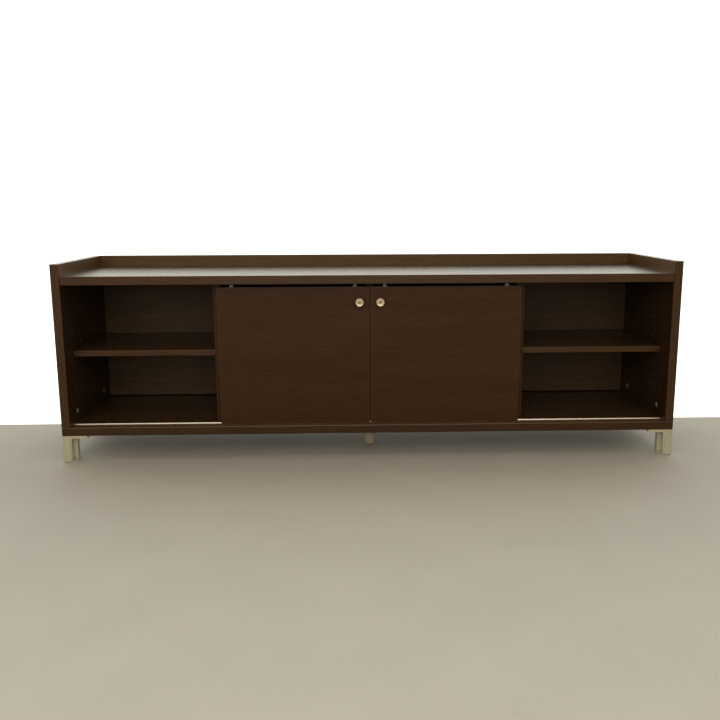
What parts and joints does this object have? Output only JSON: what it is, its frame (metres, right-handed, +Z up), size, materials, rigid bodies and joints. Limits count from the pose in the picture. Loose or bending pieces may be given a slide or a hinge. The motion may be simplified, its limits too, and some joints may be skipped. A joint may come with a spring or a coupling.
{
  "type": "office credenza",
  "caption": "Low wide office credenza on short metal legs, with sliding lockable doors, partitions and adjustable shelves, in dark wood laminate.",
  "frame": {"origin": "on the floor under the middle of the credenza", "axes": "+Z up, +X to its right seen from the front, the front faces -Y"},
  "size_m": [1.8, 0.4, 0.58],
  "materials": {
    "dark_laminate": "dark brown wood-grain laminate on particle board, satin",
    "hardboard": "dark brown coated hardboard, matt",
    "rail_aluminium": "pale champagne anodised, satin",
    "dark_plastic": "dark brown moulded plastic",
    "white_nylon": "natural nylon",
    "zinc_plated_steel": "zinc plated",
    "beech": "plain beech",
    "clear_rubber": "soft grey buffer",
    "champagne_metal": "champagne satin nickel plating",
    "lock_brass": "nickel-plated brass, worn",
    "beige_painted_metal": "warm grey-beige powder coat",
    "grey_plastic_foot": "grey-beige moulded plastic"
  },
  "bodies": {
    "carcass": {"bottom_board": "dark_laminate", "left_side_panel": "dark_laminate", "right_side_panel": "dark_laminate", "top_board": "dark_laminate", "back_gallery": "dark_laminate", "back_panel": "hardboard", "left_partition": "dark_laminate", "centre_partition": "dark_laminate", "right_partition": "dark_laminate", "left_outer_shelf": "dark_laminate", "left_inner_shelf": "dark_laminate", "right_inner_shelf": "dark_laminate", "right_outer_shelf": "dark_laminate", "shelf_pins": "zinc_plated_steel", "cam_housings": "zinc_plated_steel", "cam_bolts": "zinc_plated_steel", "wood_dowels": "beech", "bottom_rail": "rail_aluminium", "top_guide_track": "dark_plastic", "door_bumpers": "clear_rubber", "lock_strike": "zinc_plated_steel", "strike_screws": "zinc_plated_steel", "front_left_leg": "beige_painted_metal", "front_right_leg": "beige_painted_metal", "back_left_leg": "beige_painted_metal", "back_right_leg": "beige_painted_metal", "centre_leg": "beige_painted_metal", "leg_screws": "zinc_plated_steel", "centre_leg_screws": "zinc_plated_steel"},
    "left_door": {"left_door": "dark_laminate", "left_door_roller_housings": "dark_plastic", "left_door_roller_axles": "zinc_plated_steel", "left_door_roller_screws": "zinc_plated_steel", "left_door_top_guides": "white_nylon", "left_lock_knob": "champagne_metal", "left_lock_nut": "zinc_plated_steel"},
    "right_door": {"right_door": "dark_laminate", "right_door_roller_housings": "dark_plastic", "right_door_roller_axles": "zinc_plated_steel", "right_door_roller_screws": "zinc_plated_steel", "right_door_top_guides": "white_nylon", "right_lock_knob": "champagne_metal", "right_lock_nut": "zinc_plated_steel"},
    "left_lock": {"left_lock_plug": "lock_brass", "left_lock_cam": "zinc_plated_steel", "left_lock_cam_screw": "zinc_plated_steel"},
    "left_outer_roller": {"left_door_outer_roller": "white_nylon"},
    "left_inner_roller": {"left_door_inner_roller": "white_nylon"},
    "right_lock": {"right_lock_plug": "lock_brass", "right_lock_cam": "zinc_plated_steel", "right_lock_cam_screw": "zinc_plated_steel"},
    "right_outer_roller": {"right_door_outer_roller": "white_nylon"},
    "right_inner_roller": {"right_door_inner_roller": "white_nylon"},
    "front_left_foot": {"front_left_foot": "grey_plastic_foot"},
    "back_left_foot": {"back_left_foot": "grey_plastic_foot"},
    "front_right_foot": {"front_right_foot": "grey_plastic_foot"},
    "back_right_foot": {"back_right_foot": "grey_plastic_foot"},
    "centre_foot": {"centre_foot": "grey_plastic_foot"}
  },
  "joints": [
    {"name": "left_door_slide", "type": "slide", "parent": "carcass", "child": "left_door", "axis": [-1, 0, 0], "range_m": [0, 0.4315]},
    {"name": "right_door_slide", "type": "slide", "parent": "carcass", "child": "right_door", "axis": [1, 0, 0], "range_m": [0, 0.4315]},
    {"name": "left_lock_turn", "type": "hinge", "parent": "left_door", "child": "left_lock", "pos_m": [-0.03, -0.172, 0.465], "axis": [0, 1, 0], "range_deg": [0, 90]},
    {"name": "left_outer_roller_spin", "type": "hinge", "parent": "left_door", "child": "left_outer_roller", "pos_m": [-0.399, -0.162, 0.1158], "axis": [0, 1, 0], "range_deg": [-3300, 0]},
    {"name": "left_inner_roller_spin", "type": "hinge", "parent": "left_door", "child": "left_inner_roller", "pos_m": [-0.043, -0.162, 0.1158], "axis": [0, 1, 0], "range_deg": [-3300, 0]},
    {"name": "right_lock_turn", "type": "hinge", "parent": "right_door", "child": "right_lock", "pos_m": [0.03, -0.172, 0.465], "axis": [0, -1, 0], "range_deg": [0, 90]},
    {"name": "right_outer_roller_spin", "type": "hinge", "parent": "right_door", "child": "right_outer_roller", "pos_m": [0.399, -0.162, 0.1158], "axis": [0, 1, 0], "range_deg": [0, 3300]},
    {"name": "right_inner_roller_spin", "type": "hinge", "parent": "right_door", "child": "right_inner_roller", "pos_m": [0.043, -0.162, 0.1158], "axis": [0, 1, 0], "range_deg": [0, 3300]},
    {"name": "front_left_foot_screw_out", "type": "slide", "parent": "carcass", "child": "front_left_foot", "axis": [0, 0, -1], "range_m": [0, 0.006]},
    {"name": "back_left_foot_screw_out", "type": "slide", "parent": "carcass", "child": "back_left_foot", "axis": [0, 0, -1], "range_m": [0, 0.006]},
    {"name": "front_right_foot_screw_out", "type": "slide", "parent": "carcass", "child": "front_right_foot", "axis": [0, 0, -1], "range_m": [0, 0.006]},
    {"name": "back_right_foot_screw_out", "type": "slide", "parent": "carcass", "child": "back_right_foot", "axis": [0, 0, -1], "range_m": [0, 0.006]},
    {"name": "centre_foot_screw_out", "type": "slide", "parent": "carcass", "child": "centre_foot", "axis": [0, 0, -1], "range_m": [0, 0.006]}
  ],
  "couplings": [
    {"joint": "left_outer_roller_spin", "follows": "left_door_slide", "rad_per_m": -133.33},
    {"joint": "left_inner_roller_spin", "follows": "left_door_slide", "rad_per_m": -133.33},
    {"joint": "right_outer_roller_spin", "follows": "right_door_slide", "rad_per_m": 133.33},
    {"joint": "right_inner_roller_spin", "follows": "right_door_slide", "rad_per_m": 133.33}
  ]
}
